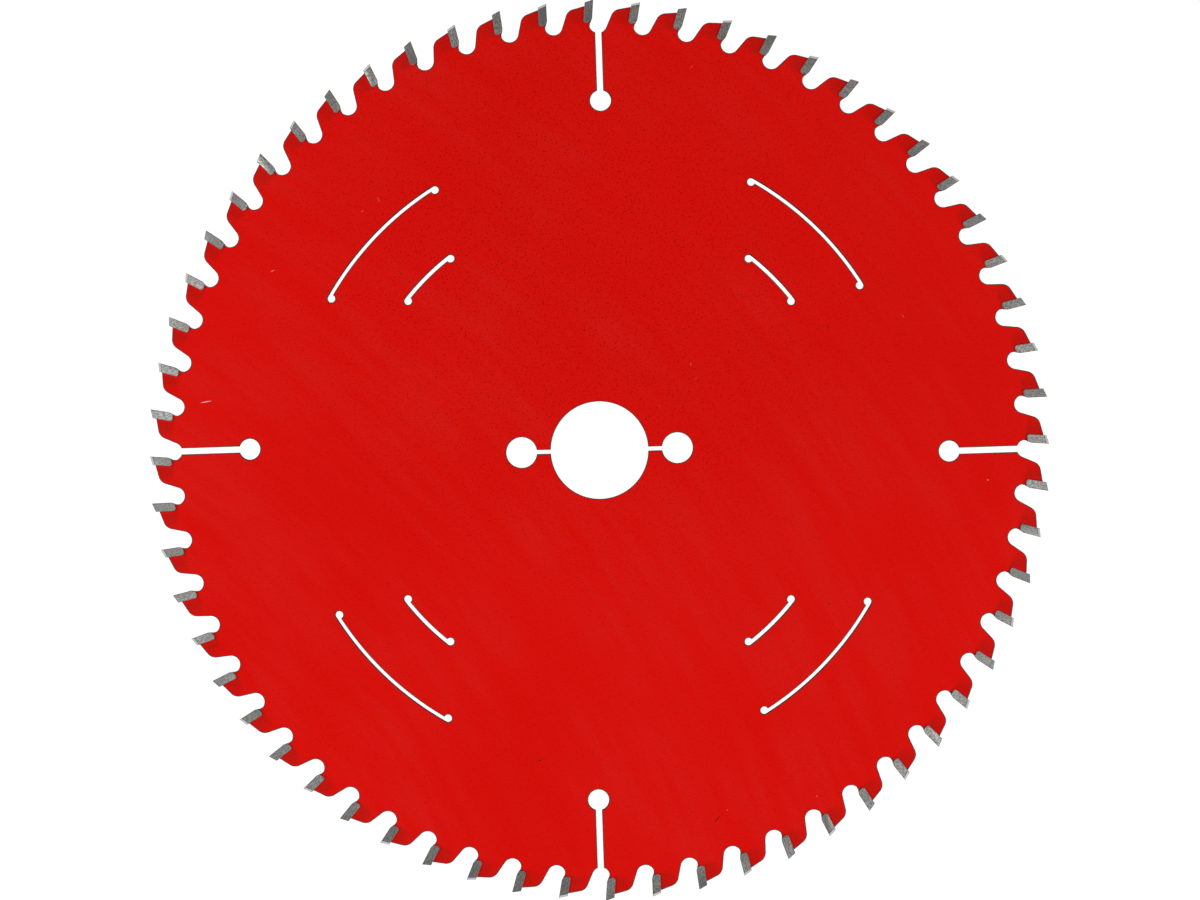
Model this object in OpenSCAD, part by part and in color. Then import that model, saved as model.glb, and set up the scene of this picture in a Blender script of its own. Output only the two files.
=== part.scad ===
// Circular saw blade: a flat steel plate with carbide tips brazed into seats round its rim.
// The arbor's axis is +Z, the origin lies in the middle of the bore, halfway through the plate,
// and the first expansion slot's hole lies on +X. Seen from +Z the blade cuts clockwise.

/* [Blade] */
// Diameter of the circle that the cutting corners run on
blade_d = 185; // [172:1:210]
// Number of teeth
teeth = 60; // [52:4:68]
// Thickness of the steel plate
plate_t = 1.6; // [1.2:0.1:2]
// Diameter of the arbor bore
bore_d = 20; // [16:0.5:24]

/* [Carbide tips] */
// Width of the cut, over the widest corners of a tip
kerf = 2.6; // [2.4:0.1:3.2]
// Height of a tip along the blade's radius
tip_h = 4.7; // [4:0.02:5.2]
// Thickness of a tip from its cutting face to its seat
tip_t = 1.72; // [1.5:0.02:2]
// Forward lean of the cutting face from the radius, in degrees
hook = 4; // [0:0.5:8]
// Fall of a tip's top behind its cutting edge, in degrees
top_relief = 17; // [14:1:22]
// Slope of a tip's top from side to side, left and right by turns, in degrees
top_bevel = 15; // [5:1:20]
// Taper of a tip's sides towards the blade's middle, in degrees
radial_relief = 1.5; // [0.5:0.25:2]
// Taper of a tip's sides behind its cutting edge, in degrees
flank_relief = 2.5; // [1:0.25:3]
// Height of the slanted toe at the foot of the cutting face
toe_h = 0.87; // [0.5:0.01:1.2]
// Lean of the toe from the radius, in degrees
toe_lean = 22; // [12:1:28]
// Radius of the rounded heel that beds in the corner of the seat
heel_r = 0.5; // [0.3:0.05:0.7]

/* [Gullets] */
// Depth of a gullet below the cutting circle
gullet_depth = 6.85; // [6.4:0.05:7.5]
// Radius of a gullet's round bottom
gullet_r = 1.82; // [1.6:0.02:2]
// Distance of a gullet's middle ahead of the cutting edge
gullet_ahead = 0.92; // [0.7:0.02:1.1]
// Setback of the plate's lip behind the toe of the tip that it carries
lip_setback = 0.1; // [0.05:0.01:0.25]
// Lean of the lip from the radius, in degrees
lip_lean = 8; // [4:1:14]

/* [Tooth backs] */
// Drop of a tooth's land below the cutting circle, where it meets the tip
land_drop = 1.32; // [1.1:0.02:1.6]
// Fall of the land behind the tip, in degrees
land_relief = 15; // [10:1:20]
// Radius of the shoulder between the land and the back of the tooth
shoulder_r = 2.1; // [1.4:0.1:2.4]
// Lean of the tooth's back from the radius, in degrees
back_lean = 17.5; // [12:0.5:22]

/* [Expansion slots] */
// Number of expansion slots, spread evenly over the gullets
slots = 4; // [2:1:6]
// Width of a slot
slot_w = 1.25; // [0.8:0.05:1.8]
// Distance of the slot's hole inside the gullet's bottom
slot_l = 13.85; // [10:0.05:18]
// Diameter of the hole that ends a slot
slot_hole_d = 4.3; // [3:0.1:6]
// Lean of a slot from the radius, against the cut, in degrees
slot_lean = 2; // [0:0.25:4]

/* [Damping slots] */
// Radius of the outer edge of the long arcs
long_arc_at = 64; // [60:0.1:67]
// Angle between the end holes of a long arc, in degrees
long_arc_span = 28.2; // [20:0.2:40]
// Width of a long arc
long_arc_w = 0.7; // [0.4:0.02:1]
// Turn of the long arcs past halfway between two expansion slots, in degrees
long_arc_turn = 1.6; // [-4:0.1:4]
// Radius of the outer edge of the short arcs
short_arc_at = 50.6; // [44:0.1:56]
// Angle between the end holes of a short arc, in degrees
short_arc_span = 14.2; // [8:0.2:24]
// Width of a short arc
short_arc_w = 0.78; // [0.4:0.02:1]
// Turn of the short arcs past halfway between two expansion slots, in degrees
short_arc_turn = 0.15; // [-4:0.05:4]
// Diameter of the holes that end the arcs, flush with their outer edge
arc_hole_d = 1.57; // [1.2:0.01:2.4]

/* [Drive pins] */
// Diameter of a drive pin hole
pin_hole_d = 6.3; // [5:0.1:7]
// Diameter of the circle that the pin holes lie on
pin_circle_d = 32; // [31:0.5:40]
// Turn of the pin holes from the first expansion slot, in degrees
pin_turn = 1.95; // [-10:0.05:10]
// Width of the slit from a pin hole to the bore
pin_slit_w = 0.82; // [0.4:0.02:1.4]

/* [Hidden] */
$fn = 128;
lacquer_red = [0.81, 0.07, 0.05];
carbide_grey = [0.5, 0.49, 0.48];

// How far an arc runs past the straight edge that it blends into, so that the two always cross
blend = 0.0005;

tip_r = blade_d / 2;
pitch = 360 / teeth;
pairs = ceil(teeth / 2);
gullet_at = tip_r - gullet_depth + gullet_r;
slot_hole_at = tip_r - gullet_depth - slot_l;

// Turn of the first gullet from +X: a leaning slot leads from its hole on +X to that gullet's middle
first_gullet = slot_lean - asin(slot_hole_at * sin(slot_lean) / gullet_at);
first_tooth = first_gullet + asin(gullet_ahead / gullet_at);

function pair_name(i) = str("tip_pair_", i < 10 ? "0" : "", i);

// Outlines of a tooth are drawn in its own frame: the cutting corner is the origin, x points ahead
// along the cut and y outward along the radius. A lean is an angle from y towards x.
function outward(lean) = [sin(lean), cos(lean)];
function ahead(lean) = [cos(lean), -sin(lean)];
function rising(angle) = [cos(angle), sin(angle)];

// Where the line through p along u meets the line through q along v
function meet(p, u, q, v) = p + u * cross(q - p, v) / cross(u, v);

// Where the line through p along u reaches the height y
function at_height(p, u, y) = p + u * (y - p.y) / u.y;

// A point of this tooth's frame as seen from the frame of the tooth that is steps behind it
function seen_behind(p, steps) =
    let (turn = -steps * pitch, x = p.x, y = p.y + tip_r)
    [x * cos(turn) - y * sin(turn), x * sin(turn) + y * cos(turn) - tip_r];

// Outline of a tip and its seat
over_tip = gullet_r / 2;
seat = -tip_t * ahead(hook);
toe_top = at_height([0, 0], outward(hook), toe_h - tip_h);
toe = toe_top - toe_h * [tan(toe_lean), 1];
heel = meet(seat + heel_r * ahead(hook), outward(hook), [0, heel_r - tip_h], [1, 0]);
heel_foot = [heel.x, -tip_h];
heel_back = heel - heel_r * ahead(hook);
lip = toe - [lip_setback, 0];

// Outline of the gullet ahead of the tip
gullet = [gullet_ahead, sqrt(gullet_at ^ 2 - gullet_ahead ^ 2) - tip_r];
lip_low = at_height(lip, outward(lip_lean), -gullet_depth);

// Outline of the tooth's own back, down to the gullet behind it
land_top = at_height(seat, outward(hook), -land_drop);
land_end = land_top + tip_t / 2 * rising(land_relief);
back_foot = seen_behind(gullet, -1) + gullet_r * ahead(back_lean);
shoulder = meet(
    land_top + shoulder_r * rising(land_relief - 90), rising(land_relief),
    back_foot + shoulder_r * ahead(back_lean), outward(back_lean)
);
shoulder_top = shoulder - shoulder_r * rising(land_relief - 90);
shoulder_back = shoulder - shoulder_r * ahead(back_lean);

module at_tooth(i) {
    rotate([0, 0, first_tooth + i * pitch - 90])
        translate([0, tip_r, 0])
            children();
}

// Plate left under a tip: its top is the ledge of the seat and its front is the lip
module seat_block() {
    behind = heel_back - tip_t * ahead(hook);
    difference() {
        polygon([lip, heel_foot, heel, heel_back, behind, [behind.x, -gullet_depth], lip_low]);
        translate(heel)
            circle(r = heel_r + blend);
    }
}

// Opening from the seat of one tip, through the gullet, to the land of the tooth ahead
module tooth_gap() {
    back = [for (p = [back_foot, shoulder_back, shoulder, shoulder_top, land_end]) seen_behind(p, 1)];
    rim_ahead = seen_behind([land_end.x, over_tip], 1);
    rim_behind = at_height(seat, outward(hook), over_tip);
    below_seat = at_height(seat, outward(hook), -tip_h - over_tip);
    difference() {
        union() {
            translate(gullet)
                circle(r = gullet_r + blend);
            difference() {
                polygon(concat([gullet], back, [rim_ahead, rim_behind, below_seat]));
                translate(back[2])
                    circle(r = shoulder_r + blend);
            }
        }
        seat_block();
    }
}

// Slot that leads from its hole out to the middle of the first gullet
module expansion_slot() {
    reach = gullet_at * rising(first_gullet) - [slot_hole_at, 0];
    translate([slot_hole_at, 0]) {
        circle(d = slot_hole_d);
        rotate(slot_lean)
            translate([0, -slot_w / 2])
                square([norm(reach), slot_w]);
    }
}

// Narrow arc round the blade's middle with a hole at each end
module damping_slot(at, span, w) {
    beyond = 2 * at;
    intersection() {
        difference() {
            circle(r = at);
            circle(r = at - w);
        }
        polygon([[0, 0], beyond * rising(-span / 2), beyond * rising(span / 2)]);
    }
    for (side = [-1, 1])
        rotate(side * span / 2)
            translate([at - arc_hole_d / 2, 0])
                circle(r = arc_hole_d / 2 + blend);
}

// Bore with two drive pin holes and the slits that join them to it
module arbor_holes() {
    circle(d = bore_d);
    for (side = [0, 180])
        rotate(pin_turn + side) {
            translate([pin_circle_d / 2, 0])
                circle(d = pin_hole_d);
            translate([0, -pin_slit_w / 2])
                square([pin_circle_d / 2, pin_slit_w]);
        }
}

module plate() {
    color(lacquer_red)
        linear_extrude(plate_t, center = true)
            difference() {
                circle(r = tip_r);
                for (i = [0 : teeth - 1])
                    rotate(first_tooth + i * pitch - 90)
                        translate([0, tip_r])
                            tooth_gap();
                for (i = [0 : slots - 1]) {
                    rotate(round(i * teeth / slots) * pitch)
                        expansion_slot();
                    rotate((i + 0.5) * 360 / slots + long_arc_turn)
                        damping_slot(long_arc_at, long_arc_span, long_arc_w);
                    rotate((i + 0.5) * 360 / slots + short_arc_turn)
                        damping_slot(short_arc_at, short_arc_span, short_arc_w);
                }
                arbor_holes();
            }
}

// One tip in its tooth's frame. Side is 1 where its high corner is on the +Z side, and -1 where it is
// on the other side
module tip(side) {
    block = 4 * tip_h;
    difference() {
        linear_extrude(kerf + 2 * over_tip, center = true) {
            polygon([
                at_height([0, 0], outward(hook), over_tip), toe_top, toe, heel_foot, heel, heel_back,
                at_height(seat, outward(hook), over_tip)
            ]);
            translate(heel)
                circle(r = heel_r + blend);
        }
        translate([0, 0, side * kerf / 2])
            rotate([-side * top_bevel, 0, top_relief])
                translate([-block / 2, 0, -block / 2])
                    cube(block);
        for (face = [0, 1])
            mirror([0, 0, face])
                translate([0, 0, kerf / 2])
                    rotate([radial_relief, -flank_relief, 0])
                        translate([-block / 2, -block / 2, 0])
                            cube(block);
    }
}

// Two tips that follow each other round the rim, bevelled to opposite sides
module tip_pair(i) {
    first = 2 * (i - 1);
    color(carbide_grey)
        for (tooth = [first : min(first + 1, teeth - 1)])
            at_tooth(tooth)
                tip(tooth % 2 == 0 ? -1 : 1);
}

plate();
for (i = [1 : pairs])
    tip_pair(i);
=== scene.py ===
import math

import bmesh
import bpy
from mathutils import Matrix, Vector
from mathutils.bvhtree import BVHTree
from mathutils.geometry import delaunay_2d_cdt


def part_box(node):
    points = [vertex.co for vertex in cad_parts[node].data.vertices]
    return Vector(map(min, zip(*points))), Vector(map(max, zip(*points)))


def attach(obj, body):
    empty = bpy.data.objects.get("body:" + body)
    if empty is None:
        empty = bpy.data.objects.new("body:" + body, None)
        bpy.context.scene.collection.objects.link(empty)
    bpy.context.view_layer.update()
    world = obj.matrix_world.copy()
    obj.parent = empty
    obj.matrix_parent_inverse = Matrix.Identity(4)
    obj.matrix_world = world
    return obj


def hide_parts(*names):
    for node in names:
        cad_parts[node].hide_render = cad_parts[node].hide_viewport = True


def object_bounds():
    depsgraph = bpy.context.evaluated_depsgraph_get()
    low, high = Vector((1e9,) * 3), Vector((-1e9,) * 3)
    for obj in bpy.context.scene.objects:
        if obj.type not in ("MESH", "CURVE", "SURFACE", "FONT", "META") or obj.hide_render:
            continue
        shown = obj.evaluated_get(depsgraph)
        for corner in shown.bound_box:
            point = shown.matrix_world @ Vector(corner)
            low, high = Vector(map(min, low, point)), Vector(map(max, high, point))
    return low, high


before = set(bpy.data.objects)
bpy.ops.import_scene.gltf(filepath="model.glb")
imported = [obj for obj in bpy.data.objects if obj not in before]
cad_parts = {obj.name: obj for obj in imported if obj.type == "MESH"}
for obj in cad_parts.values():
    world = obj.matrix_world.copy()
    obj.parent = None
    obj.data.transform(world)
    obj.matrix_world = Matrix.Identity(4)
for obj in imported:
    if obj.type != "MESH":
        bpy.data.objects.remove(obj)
cad_low, cad_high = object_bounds()

# The plate: one disc of hardened saw steel, laser cut with its gullets, slots, pin holes and bore,
# then flattened, tensioned and lacquered red on both faces. The laser leaves the cut walls dark
# and their edges slightly rounded, and the bore is reamed bright after the lacquer has dried.
# The rounded edges and a thin band of each face beside them are painted in the dark cut steel,
# as shade along every edge.
plate_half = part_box("plate")[1].z
bore_radius = 0.010
edge_round = 0.00011
edge_steps = 3
edge_shade_band = 0.00017

# How closely the outlines of the plate are read, how finely arcs are divided, and what tells an arc
# from a corner, a wall in a seat from a bare one, and the bore from the other openings.
flat_within = 1e-6
keys_per_metre = 1e7
arc_rise = 2e-6
arc_turn = 0.3
arc_unevenness = 0.004
corner_turn = 0.4
seat_within = 2e-5
bore_within = 5e-5


def outlines(mesh, height):
    """The closed outlines of the flat face at that height, each with the steel on its left."""
    mesh.calc_loop_triangles()
    sides = set()
    places = {}
    for triangle in mesh.loop_triangles:
        corners = [mesh.vertices[i].co for i in triangle.vertices]
        if all(abs(corner.z - height) < flat_within for corner in corners):
            keys = [tuple(round(value * keys_per_metre) for value in corner.xy) for corner in corners]
            places.update((key, corner.xy.copy()) for key, corner in zip(keys, corners))
            sides.update(zip(keys, keys[1:] + keys[:1]))
    follow = {a: b for a, b in sides if (b, a) not in sides}
    found = []
    while follow:
        key = min(follow)
        outline = []
        while key in follow:
            outline.append(places[key])
            key = follow.pop(key)
        found.append(outline)
    return found


def turn_at(outline, i):
    """How far the outline turns at its point i, to the left if positive."""
    before = outline[i] - outline[i - 1]
    after = outline[(i + 1) % len(outline)] - outline[i]
    return math.atan2(before.cross(after), before.dot(after))


def rounded(outline):
    """The outline with the chords of every arc divided, until its rise over each is within arc_rise."""
    count = len(outline)
    bends = []
    for i in range(count):
        before = (outline[i] - outline[i - 1]).length
        after = (outline[(i + 1) % count] - outline[i]).length
        turn = turn_at(outline, i)
        on_arc = abs(before - after) < arc_unevenness * after and abs(turn) < arc_turn
        bends.append(turn if on_arc else 0.0)
    fine = []
    for i, start in enumerate(outline):
        chord = outline[(i + 1) % count] - start
        bend = bends[i] or bends[(i + 1) % count]
        rise = chord.length * abs(bend) / 8
        parts = max(1, math.ceil(math.sqrt(rise / arc_rise)))
        fine.append(start)
        for k in range(1, parts):
            along = bend * k / parts
            reach = math.sin(along / 2) / math.sin(bend / 2)
            fine.append(start + Matrix.Rotation((along - bend) / 2, 2) @ chord * reach)
    return fine


def inset(outline, distance):
    """The outline with every point moved that far into the steel."""
    count = len(outline)
    moved = []
    for i, point in enumerate(outline):
        before = (point - outline[i - 1]).normalized()
        after = (outline[(i + 1) % count] - point).normalized()
        inward = Vector((-before.y - after.y, before.x + after.x))
        moved.append(point + inward * (2 * distance / inward.length_squared))
    return moved


# The edge in section, from the top face to the bottom one: how deep in the steel, and how high.
# It starts at the inner side of the painted edge shade on the face.
section = [(edge_shade_band, plate_half)]
for step in range(edge_steps + 1):
    turn = math.pi / 2 * step / edge_steps
    depth = edge_round * (1 - math.sin(turn))
    height = plate_half - edge_round * (1 - math.cos(turn))
    section.append((depth, height))
straight_wall = len(section) - 1
section += [(depth, -height) for depth, height in reversed(section)]

# The painted edge shade and the rounded edge show all round the plate but not in the seats, where
# the carbide covers the wall and the lacquer runs up to the tip.
tips_mesh = bmesh.new()
for name, tip_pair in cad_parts.items():
    if name.startswith("tip_pair"):
        tips_mesh.from_mesh(tip_pair.data)
tips = BVHTree.FromBMesh(tips_mesh)
tips_mesh.free()


def touches_tip(point):
    """Whether that point of an outline lies against a tip."""
    *_, distance = tips.find_nearest(point.to_3d())
    return distance < seat_within


# The walls: each outline is a ring of points at every step of the section.
lacquered, cut_wall_and_edge_shade, reamed_bright = range(3)
millimetres = 1000
plate_mesh = bmesh.new()
face_points = []
face_sides = []
owners = []
top_rim = []
bottom_rim = []
for outline in outlines(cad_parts["plate"].data, plate_half):
    outline = rounded(outline)
    count = len(outline)
    in_seat = [touches_tip(point) for point in outline]
    rings = []
    for depth, height in section:
        ring = [plate_mesh.verts.new((p.x, p.y, height)) for p in inset(outline, depth)]
        rings.append(ring)
    first = len(face_points)
    face_points += [vert.co.xy * millimetres for vert in rings[0]]
    face_sides += [(first + i, first + (i + 1) % count) for i in range(count)]
    owners += [(first, count)] * count
    top_rim += rings[0]
    bottom_rim += rings[-1]
    for level, (upper, lower) in enumerate(zip(rings, rings[1:])):
        for i in range(count):
            j = (i + 1) % count
            wall = plate_mesh.faces.new((upper[i], lower[i], lower[j], upper[j]))
            wall.smooth = True
            from_axis = (outline[i] + outline[j]).length / 2
            # Off the straight wall, the rounded edge and the band of face take the dark steel as painted
            # shade, but lacquer in the seats.
            if level != straight_wall:
                wall.material_index = lacquered if in_seat[i] and in_seat[j] else cut_wall_and_edge_shade
            elif abs(from_axis - bore_radius) < bore_within:
                wall.material_index = reamed_bright
            else:
                wall.material_index = cut_wall_and_edge_shade
        for i in range(count):
            if abs(turn_at(outline, i)) > corner_turn:
                plate_mesh.edges.get((upper[i], lower[i])).smooth = False

# The two faces: triangles between the rims, without those that run backward along one outline,
# because they span a gullet or a hole.
inside_only = 1
merge_within = 1e-6
_, _, triangles, origins, _, _ = delaunay_2d_cdt(face_points, face_sides, [], inside_only, merge_within)
for triangle in triangles:
    a, b, c = [origins[i][0] for i in triangle]
    count = owners[a][1]
    in_hole = owners[a] == owners[b] == owners[c] and (b - a) % count > (c - a) % count
    if not in_hole:
        plate_mesh.faces.new((top_rim[a], top_rim[b], top_rim[c]))
        plate_mesh.faces.new((bottom_rim[c], bottom_rim[b], bottom_rim[a]))
plate = bpy.data.objects.new("blade_plate", bpy.data.meshes.new("blade_plate"))
plate_mesh.to_mesh(plate.data)
plate_mesh.free()
bpy.context.scene.collection.objects.link(plate)


def fill(tree, node, sockets):
    """Sets the node's inputs to values, or joins them to other nodes' outputs."""
    for name, value in sockets.items():
        if isinstance(value, bpy.types.NodeSocket):
            tree.links.new(value, node.inputs[name])
        else:
            node.inputs[name].default_value = value


def add(tree, kind, sockets=None, **settings):
    """A new node in the tree, with its settings made and its inputs filled."""
    made = tree.nodes.new(kind)
    for name, value in settings.items():
        setattr(made, name, value)
    fill(tree, made, sockets or {})
    return made


def sums(tree, operation, *values):
    """The result of a Math node on these values or outputs."""
    return add(tree, "ShaderNodeMath", dict(enumerate(values)), operation=operation).outputs[0]


def vectors(tree, operation, *values, result="Vector"):
    """The result of a Vector Math node on these vectors or outputs."""
    return add(tree, "ShaderNodeVectorMath", dict(enumerate(values)), operation=operation).outputs[result]


def joined(tree, x, y, z=0.0):
    """The vector with these three parts."""
    return add(tree, "ShaderNodeCombineXYZ", {"X": x, "Y": y, "Z": z}).outputs[0]


def parted(tree, vector):
    """The three parts of a vector."""
    return add(tree, "ShaderNodeSeparateXYZ", {0: vector}).outputs


def spread(tree, value, low, high, to_low=0.0, to_high=1.0):
    """The value eased from the range low to high into the range to_low to to_high."""
    sockets = {"Value": value, "From Min": low, "From Max": high, "To Min": to_low, "To Max": to_high}
    return add(tree, "ShaderNodeMapRange", sockets, interpolation_type="SMOOTHSTEP").outputs[0]


def blended(tree, amount, first, second):
    """The first colour turned into the second by that amount, on the Mix node's colour sockets."""
    return add(tree, "ShaderNodeMix", {0: amount, 6: first, 7: second}, data_type="RGBA").outputs[2]


def bumps(tree, height, strength, depth):
    """The normal of a surface that rises and falls with the height."""
    sockets = {"Height": height, "Strength": strength, "Distance": depth}
    return add(tree, "ShaderNodeBump", sockets).outputs[0]


def new_material(name):
    """A material of that name with its tree, its shader and the place on the blade."""
    made = bpy.data.materials.new(name)
    made.use_nodes = True
    tree = made.node_tree
    shader = tree.nodes["Principled BSDF"]
    return made, tree, shader, add(tree, "ShaderNodeTexCoord").outputs["Object"]


def new_group(name, vectors_in, values_in, values_out):
    """A shader node group of that name, with the outputs of its Group Input node."""
    made = bpy.data.node_groups.new(name, "ShaderNodeTree")
    for title in vectors_in:
        made.interface.new_socket(title, in_out="INPUT", socket_type="NodeSocketVector")
    for title in values_in:
        made.interface.new_socket(title, in_out="INPUT", socket_type="NodeSocketFloat")
    for title in values_out:
        made.interface.new_socket(title, in_out="OUTPUT", socket_type="NodeSocketFloat")
    return made, add(made, "NodeGroupInput").outputs


# Grain: a noise over the place on the blade, drawn out along each axis.
grain_group, given = new_group("grain", ("Place", "Stretch"), ("Scale", "Detail"), ("Amount",))
drawn_out = add(grain_group, "ShaderNodeMapping", {"Vector": given["Place"], "Scale": given["Stretch"]})
noise = add(grain_group, "ShaderNodeTexNoise", {
    "Vector": drawn_out.outputs[0], "Scale": given["Scale"], "Detail": given["Detail"]})
add(grain_group, "NodeGroupOutput", {"Amount": noise.outputs["Fac"]})


def grain(tree, place, scale=1.0, detail=2.0, stretch=(1, 1, 1)):
    """The amount of a grain group with these values."""
    sockets = {"Place": place, "Stretch": stretch, "Scale": scale, "Detail": detail}
    return add(tree, "ShaderNodeGroup", sockets, node_tree=grain_group).outputs["Amount"]


# Polar place: how far a place lies from an upright axis, and at what angle round it.
polar_group, given = new_group("polar_place", ("Place", "Centre"), (), ("Radius", "Angle"))
east, north, _ = parted(polar_group, vectors(polar_group, "SUBTRACT", given["Place"], given["Centre"]))
add(polar_group, "NodeGroupOutput", {
    "Radius": vectors(polar_group, "LENGTH", joined(polar_group, east, north), result="Value"),
    "Angle": sums(polar_group, "ARCTAN2", north, east)})


def polar(tree, place, centre=(0, 0, 0)):
    """The radius and the angle of a place round that centre."""
    made = add(tree, "ShaderNodeGroup", {"Place": place, "Centre": centre}, node_tree=polar_group)
    return made.outputs["Radius"], made.outputs["Angle"]


# Tooth place: how far a place lies from the blade's axis, and how far behind the cutting face of the
# tooth that it belongs to, measured round the blade.
tooth_pitch = math.radians(6)
first_face = math.radians(0.96)
room_ahead = math.radians(1.5)
tooth_group, given = new_group("tooth_place", ("Place",), (), ("Radius", "Behind"))
radius, angle = polar(tooth_group, given["Place"])
past_first = sums(tooth_group, "SUBTRACT", angle, first_face)
past_face = sums(tooth_group, "WRAP", past_first, tooth_pitch - room_ahead, -room_ahead)
add(tooth_group, "NodeGroupOutput", {
    "Radius": radius, "Behind": sums(tooth_group, "MULTIPLY", past_face, radius)})


def tooth_place(tree, place):
    """The radius of a place, and how far it lies behind the face of its tooth."""
    made = add(tree, "ShaderNodeGroup", {"Place": place}, node_tree=tooth_group)
    return made.outputs["Radius"], made.outputs["Behind"]


# Nick: a short ragged mark on the top face, where the lacquer is knocked, rubbed thin or scuffed.
nick_half_width = 0.00010
nick_raggedness = 0.9
nick_top_face = (-0.0006, -0.0002)
nick, given = new_group("lacquer_nick", ("Place", "Centre"), ("Turn", "Length", "Strength"), ("Amount",))
from_centre = vectors(nick, "SUBTRACT", given["Place"], given["Centre"])
turned_back = {"Vector": from_centre, "Angle": sums(nick, "MULTIPLY", given["Turn"], -1.0)}
along, across, above = parted(
    nick, add(nick, "ShaderNodeVectorRotate", turned_back, rotation_type="Z_AXIS").outputs[0])
along = sums(nick, "DIVIDE", along, sums(nick, "DIVIDE", given["Length"], 2.0))
across = sums(nick, "DIVIDE", across, nick_half_width)
from_middle = vectors(nick, "LENGTH", joined(nick, along, across), result="Value")
nick_grain = grain(nick, given["Place"], scale=6000)
ragged = sums(nick, "MULTIPLY_ADD", nick_grain, nick_raggedness, -nick_raggedness / 2)
shape = spread(nick, sums(nick, "ADD", from_middle, ragged), low=1.2, high=0.6)
whole = sums(nick, "MULTIPLY", shape, spread(nick, above, *nick_top_face))
add(nick, "NodeGroupOutput", {"Amount": sums(nick, "MULTIPLY", whole, given["Strength"])})

# The lacquer: a red that is nearly even, with a soft gloss.
lacquer_red = (0.668, 0.0040, 0.0020, 1)
lacquer_bright = (0.700, 0.0044, 0.0023, 1)
lacquer, tree, shader, place = new_material("red_lacquer")
mottle = spread(tree, grain(tree, place, scale=14, detail=1), low=0.3, high=0.7)
colour = blended(tree, mottle, lacquer_red, lacquer_bright)

# The cloth that wiped the plate left faint hazy arcs, all about the same elbow. They are fainter in
# a patch above the bore.
elbow = (-0.203, -0.169, 0)
faint_patch = (0.0094, 0.046, plate_half)
haze_red = (0.672, 0.0078, 0.0052, 1)
reach, sweep = polar(tree, place, elbow)
strokes = joined(tree, reach, sweep, parted(tree, place)["Z"])
wiped = grain(tree, strokes, detail=6, stretch=(280, 10, 900))
patchy = grain(tree, place, scale=30)
haze = sums(tree, "MULTIPLY", spread(tree, wiped, low=0.25, high=0.75),
            spread(tree, patchy, low=0.3, high=0.62, to_low=0.25))
from_patch = vectors(tree, "DISTANCE", place, faint_patch, result="Value")
haze = sums(tree, "MULTIPLY", haze, spread(tree, from_patch, low=0.012, high=0.024, to_low=0.3))
colour = blended(tree, haze, colour, haze_red)

# Fine speckle, where dust lay in the wet lacquer, thickest above the bore, and single grains of dust.
speckle_middle = (-0.005, 0.042, plate_half)
speckle_red = (0.36, 0.0012, 0.0005, 1)
dust_brown = (0.16, 0.006, 0.005, 1)
speckle = spread(tree, grain(tree, place, scale=2700, detail=4), low=0.52, high=0.74)
from_speckle = vectors(tree, "DISTANCE", place, speckle_middle, result="Value")
thinned = spread(tree, from_speckle, low=0.015, high=0.085, to_low=1.0, to_high=0.45)
colour = blended(tree, sums(tree, "MULTIPLY", speckle, thinned), colour, speckle_red)
from_dust = add(tree, "ShaderNodeTexVoronoi", {"Vector": place, "Scale": 260}).outputs["Distance"]
dust = sums(tree, "MULTIPLY", spread(tree, from_dust, low=0.07, high=0.02, to_high=0.6),
            spread(tree, patchy, low=0.52, high=0.66))
colour = blended(tree, dust, colour, dust_brown)

# The lacquer is darker round every seat, behind and below the tip, least in the strip right behind
# the tip.
tip_back = 0.0017
foot_radius = 0.0884
darkening_back = 0.0034
darkening_down = 0.0011
clean_strip = (tip_back + 0.0002, tip_back + 0.0011)
below_strip = (foot_radius - 0.0002, foot_radius - 0.0005)
darker_seat_red = (0.41, 0.0070, 0.0040, 1)
radius, behind = tooth_place(tree, place)
past_back = sums(tree, "MAXIMUM", sums(tree, "SUBTRACT", behind, tip_back), 0.0)
below_foot = sums(tree, "MAXIMUM", sums(tree, "SUBTRACT", foot_radius, radius), 0.0)
from_seat = joined(tree, sums(tree, "DIVIDE", past_back, darkening_back),
                   sums(tree, "DIVIDE", below_foot, darkening_down))
near_seat = spread(tree, vectors(tree, "LENGTH", from_seat, result="Value"), low=1.3, high=0.4)
darkening_grain = spread(tree, grain(tree, place, scale=2200), low=0.3, high=0.7, to_low=0.38, to_high=0.75)
off_strip = sums(tree, "MAXIMUM", spread(tree, behind, *clean_strip, to_low=0.25),
                 spread(tree, radius, *below_strip))
seat_darkening = sums(tree, "MULTIPLY", sums(tree, "MULTIPLY", near_seat, darkening_grain), off_strip)
colour = blended(tree, seat_darkening, colour, darker_seat_red)

# Nicks, the deepest down to the bright steel, and dark scuffs. Each has its place across and up the
# plate, its turn, its length and its strength.
bare_steel = (0.75, 0.58, 0.56, 1)
nicks = (
    (-0.0808, 0.0097, 0.18, 0.0022, 0.80),
    (0.0797, -0.0059, 0.20, 0.0003, 0.50),
    (0.0187, 0.0787, 0.65, 0.0009, 0.08),
    (-0.0455, 0.0513, -1.00, 0.0011, 0.11),
    (-0.0488, 0.0489, 0.60, 0.0005, 0.13),
    (-0.0672, 0.0366, 0.45, 0.0010, 0.25),
    (0.0187, 0.0177, 1.50, 0.0007, 0.11),
    (0.0198, 0.0148, 0.35, 0.0006, 0.05),
    (0.0123, 0.0091, 1.50, 0.0006, 0.04),
    (0.0622, 0.0277, -1.00, 0.0009, 0.11),
    (0.0448, -0.0709, 1.50, 0.0005, 0.18),
    (0.0264, -0.0738, 1.20, 0.0004, 0.13),
)
scuff_dark = (0.03, 0.008, 0.007, 1)
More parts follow.
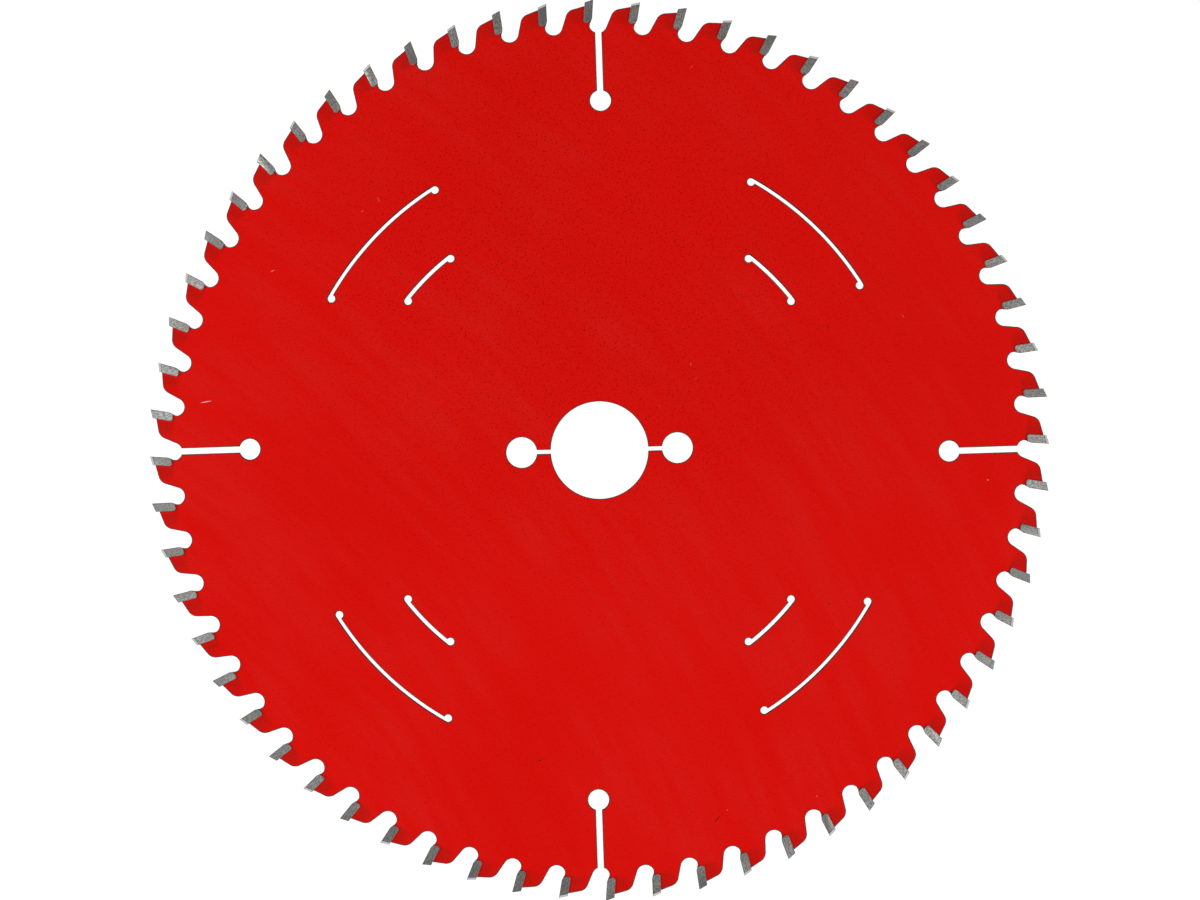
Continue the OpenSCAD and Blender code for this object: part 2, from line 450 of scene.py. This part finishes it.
scuffs = (
    (-0.0021, -0.0242, -0.13, 0.0056, 0.18),
    (-0.0056, -0.0234, -0.23, 0.0030, 0.18),
    (0.0243, -0.0757, 0.85, 0.0020, 1.00),
    (0.0468, 0.0255, -1.30, 0.0012, 0.75),
    (-0.0121, -0.0637, 0.30, 0.0007, 1.00),
)
for tint, marks in ((bare_steel, nicks), (scuff_dark, scuffs)):
    worn = 0.0
    for x, y, turn, length, strength in marks:
        sockets = {"Place": place, "Centre": (x, y, plate_half),
                   "Turn": turn, "Length": length, "Strength": strength}
        mark = add(tree, "ShaderNodeGroup", sockets, node_tree=nick)
        worn = sums(tree, "MAXIMUM", worn, mark.outputs["Amount"])
    colour = blended(tree, worn, colour, tint)
fill(tree, shader, {
    "Base Color": colour,
    "Roughness": spread(tree, haze, low=0.0, high=1.0, to_low=0.17, to_high=0.23),
    "Specular IOR Level": 0.3,
    "Normal": bumps(tree, grain(tree, place, scale=1400), strength=0.05, depth=0.00003)})

# The cut walls: fine upright ridges from the laser, with soot in patches. The same dark steel is
# laid on the rounded edges and a thin band of each face as painted shade.
cut_and_shade_dark = (0.018, 0.015, 0.0142, 1)
cut_and_shade_pale = (0.040, 0.034, 0.032, 1)
soot = (0.012, 0.0095, 0.009, 1)
cut_and_shaded_steel, tree, shader, place = new_material("cut_steel_and_edge_shade")
ridges = grain(tree, place, stretch=(14000, 14000, 700))
sooty = grain(tree, place, scale=700, detail=3)
colour = blended(tree, spread(tree, ridges, low=0.3, high=0.7), cut_and_shade_dark, cut_and_shade_pale)
colour = blended(tree, spread(tree, sooty, low=0.45, high=0.75, to_high=0.6), colour, soot)
fill(tree, shader, {
    "Base Color": colour,
    "Roughness": spread(tree, sooty, low=0.3, high=0.7, to_low=0.7, to_high=0.9),
    "Specular IOR Level": 0.08,
    "Normal": bumps(tree, ridges, strength=0.3, depth=0.00003)})

# The bore's wall: bright steel with the fine rings that the reamer leaves.
reamed_dark = (0.32, 0.31, 0.30, 1)
reamed_pale = (0.52, 0.51, 0.49, 1)
reamed, tree, shader, place = new_material("reamed_steel")
reamer_rings = grain(tree, place, stretch=(300, 300, 12000))
fill(tree, shader, {
    "Base Color": blended(tree, reamer_rings, reamed_dark, reamed_pale),
    "Metallic": 1.0,
    "Roughness": spread(tree, reamer_rings, low=0.2, high=0.8, to_low=0.25, to_high=0.4),
    "Normal": bumps(tree, reamer_rings, strength=0.2, depth=0.00002)})

plate.data.materials.append(lacquer)
plate.data.materials.append(cut_and_shaded_steel)
plate.data.materials.append(reamed)
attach(plate, "root")
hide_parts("plate")

# The tips: sixty small blocks of sintered tungsten carbide, brazed into the seats of the plate and
# then ground on their faces, flanks and top lands, which are bevelled left and right by turns.
# The grinding leaves a fine grain and a satin sheen, on each tip in a slightly different grey.
flank_dark = (0.53, 0.512, 0.488, 1)
flank_pale = (0.68, 0.662, 0.634, 1)
flank_own = (0.22, 0.212, 0.202, 1)
end_grey = (0.585, 0.570, 0.549, 1)
streak_grey = (0.195, 0.186, 0.176, 1)
carbide, tree, shader, place = new_material("ground_carbide")
x, y, z = parted(tree, place)
radius, angle = polar(tree, place)
round_blade = joined(tree, radius, angle, z)
upward = parted(tree, add(tree, "ShaderNodeNewGeometry").outputs["True Normal"])["Z"]
on_flank = spread(tree, sums(tree, "ABSOLUTE", upward), low=0.5, high=0.9)
flank_lines = grain(tree, round_blade, detail=5, stretch=(1700, 330, 0))
end_lines = grain(tree, round_blade, detail=3, stretch=(300, 45, 15000))
lines = sums(tree, "MULTIPLY_ADD", on_flank, sums(tree, "SUBTRACT", flank_lines, end_lines), end_lines)
pits = grain(tree, place, scale=9000)
own_grey = spread(tree, grain(tree, place, scale=110, detail=0), low=0.3, high=0.7, to_high=0.7)
colour = blended(tree, spread(tree, pits, low=0.25, high=0.75), flank_dark, flank_pale)
colour = blended(tree, own_grey, colour, flank_own)
colour = blended(tree, on_flank, end_grey, colour)
streaked = sums(tree, "MULTIPLY", spread(tree, lines, low=0.36, high=0.64),
                spread(tree, on_flank, low=0.0, high=1.0, to_low=0.4, to_high=0.9))
colour = blended(tree, streaked, colour, streak_grey)
fill(tree, shader, {
    "Base Color": colour,
    "Metallic": 0.7,
    "Roughness": spread(tree, lines, low=0.2, high=0.8, to_low=0.40, to_high=0.55),
    "Specular IOR Level": 0.2,
    "Specular Tint": (0.9, 0.9, 0.9, 1),
    "Anisotropic": 0.65,
    "Tangent": vectors(tree, "NORMALIZE", joined(tree, x, y)),
    "Normal": bumps(tree, lines, strength=0.2, depth=0.00002)})

# The honed edges of a tip are painted dark, as shade along every edge, and paler where the tip is
# bedded in the plate.
edge_shade_dark = (0.025, 0.024, 0.0225, 1)
edge_shade_pale = (0.06, 0.057, 0.054, 1)
bedded_grey = (0.21, 0.202, 0.192, 1)
bedded_behind = (0.0010, 0.0013)
bedded_below = (0.0914, 0.0911)
tip_edge_shade, tree, shader, place = new_material("tip_edge_shade")
radius, behind = tooth_place(tree, place)
bedded = sums(tree, "MULTIPLY", spread(tree, behind, *bedded_behind), spread(tree, radius, *bedded_below))
colour = blended(tree, grain(tree, place, scale=5000), edge_shade_dark, edge_shade_pale)
fill(tree, shader, {
    "Base Color": blended(tree, bedded, colour, bedded_grey),
    "Roughness": 0.6,
    "Specular IOR Level": 0.2})

# A tip's triangles are joined into whole faces first, so that only its real edges are honed.
same_point = 0.000002
same_face = math.radians(1)
honed_width = 0.00009
honed_corner = math.radians(20)
for name, tip_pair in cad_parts.items():
    if name.startswith("tip_pair"):
        tip_pair.data.materials.clear()
        tip_pair.data.materials.append(carbide)
        tip_pair.data.materials.append(tip_edge_shade)
        closed = tip_pair.modifiers.new("joined", "WELD")
        closed.merge_threshold = same_point
        whole_faces = tip_pair.modifiers.new("whole_faces", "DECIMATE")
        whole_faces.decimate_type = "DISSOLVE"
        whole_faces.angle_limit = same_face
        honed = tip_pair.modifiers.new("honed", "BEVEL")
        honed.width = honed_width
        honed.segments = 2
        honed.use_clamp_overlap = False
        # The bevel takes the dark edge material, painted shade along every honed edge.
        honed.material = tip_pair.data.materials.find(tip_edge_shade.name)
        honed.limit_method = "ANGLE"
        honed.angle_limit = honed_corner

# The floor: a plain white light table under the blade, which shows white through every slot.
# It glows from within, so the blade throws hardly any shadow on it.
floor_half = 20
table_base = (0.1, 0.1, 0.1, 1)
table_glow = (1, 1, 1, 1)
floor_mesh = bmesh.new()
bmesh.ops.create_grid(floor_mesh, x_segments=1, y_segments=1, size=floor_half,
                      matrix=Matrix.Translation((0, 0, cad_low.z)))
floor = bpy.data.objects.new("floor", bpy.data.meshes.new("floor"))
floor_mesh.to_mesh(floor.data)
floor_mesh.free()
bpy.context.scene.collection.objects.link(floor)
table, tree, shader, _ = new_material("white_table")
fill(tree, shader, {
    "Base Color": table_base,
    "Roughness": 0.9,
    "Specular IOR Level": 0.1,
    "Emission Color": table_glow,
    "Emission Strength": 0.985})
floor.data.materials.append(table)

# The light: a long soft box at the left and one at the right, both aimed at the bore, and a dim
# grey room over the blade.
box_places = {"left_box": (-0.5, -0.06, 0.42), "right_box": (0.5, -0.20, 0.42)}
box_power = 4.35
box_length = 0.85
box_width = 0.45
room_grey = (0.04, 0.04, 0.04, 1)
for name, spot in box_places.items():
    lamp = bpy.data.lights.new(name, "AREA")
    lamp.energy = box_power
    lamp.shape = "RECTANGLE"
    lamp.size = box_length
    lamp.size_y = box_width
    box = bpy.data.objects.new(name, lamp)
    box.location = spot
    box.rotation_euler = Vector(spot).to_track_quat("Z", "Y").to_euler()
    bpy.context.scene.collection.objects.link(box)
room = bpy.data.worlds.new("room")
room.use_nodes = True
room.node_tree.nodes["Background"].inputs["Color"].default_value = room_grey
bpy.context.scene.world = room
bpy.context.scene.view_settings.view_transform = "Standard"

# The camera: it looks straight down on the blade through a long lens, with everything in focus,
# a hair off the bore's axis and a hair turned.
camera_place = (0.0000925, 0.000025, 1.2)
camera_turn = math.radians(0.15)
lens = bpy.data.cameras.new("camera")
lens.sensor_width = 36
lens.lens = 175.3
lens.dof.use_dof = False
camera = bpy.data.objects.new("camera", lens)
camera.location = camera_place
camera.rotation_euler = (0, 0, camera_turn)
bpy.context.scene.collection.objects.link(camera)
bpy.context.scene.camera = camera
